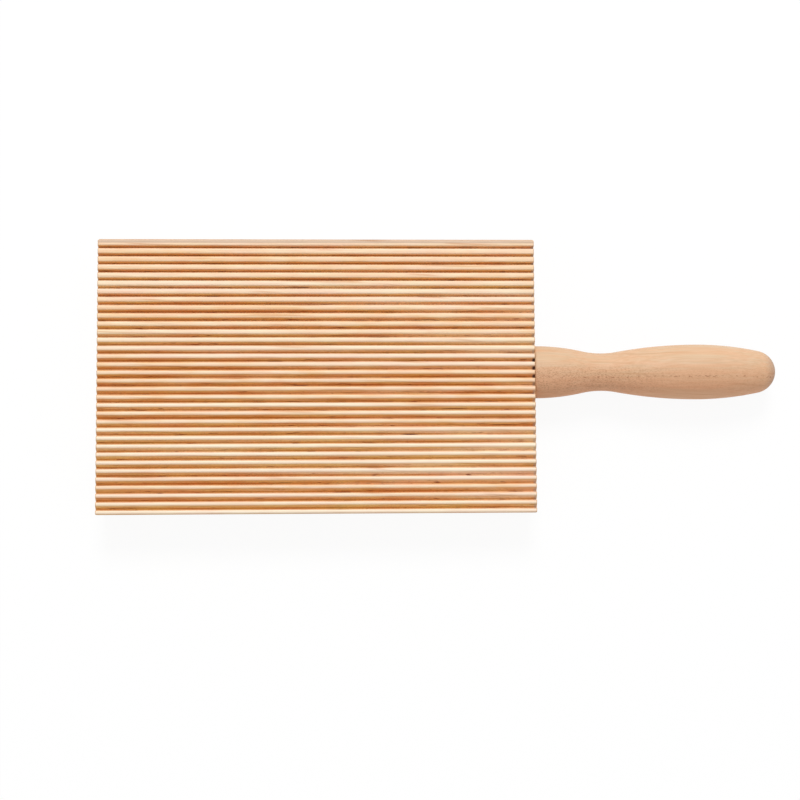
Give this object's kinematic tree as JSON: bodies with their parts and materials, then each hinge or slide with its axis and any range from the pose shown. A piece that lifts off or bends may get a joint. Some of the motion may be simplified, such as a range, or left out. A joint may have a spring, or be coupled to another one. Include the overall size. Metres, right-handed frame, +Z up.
{
  "type": "gnocchi board",
  "caption": "Wooden paddle for rolling pasta dumplings: a flat rectangular plank with fine parallel ridges along its top, and a turned, waisted handle on one end.",
  "frame": {"origin": "middle of the plank's flat underside", "axes": "+X towards the handle, +Y across the ridges, +Z up, out of the ridged face"},
  "size_m": [0.212, 0.085, 0.0174],
  "materials": {
    "board_wood": "bare planed wood with fine brown growth streaks along the ridges",
    "handle_wood": "bare sanded wood, turned, with fine dark flecks"
  },
  "bodies": {
    "root": {"ridged_board": "board_wood", "handle": "handle_wood"}
  },
  "joints": []
}
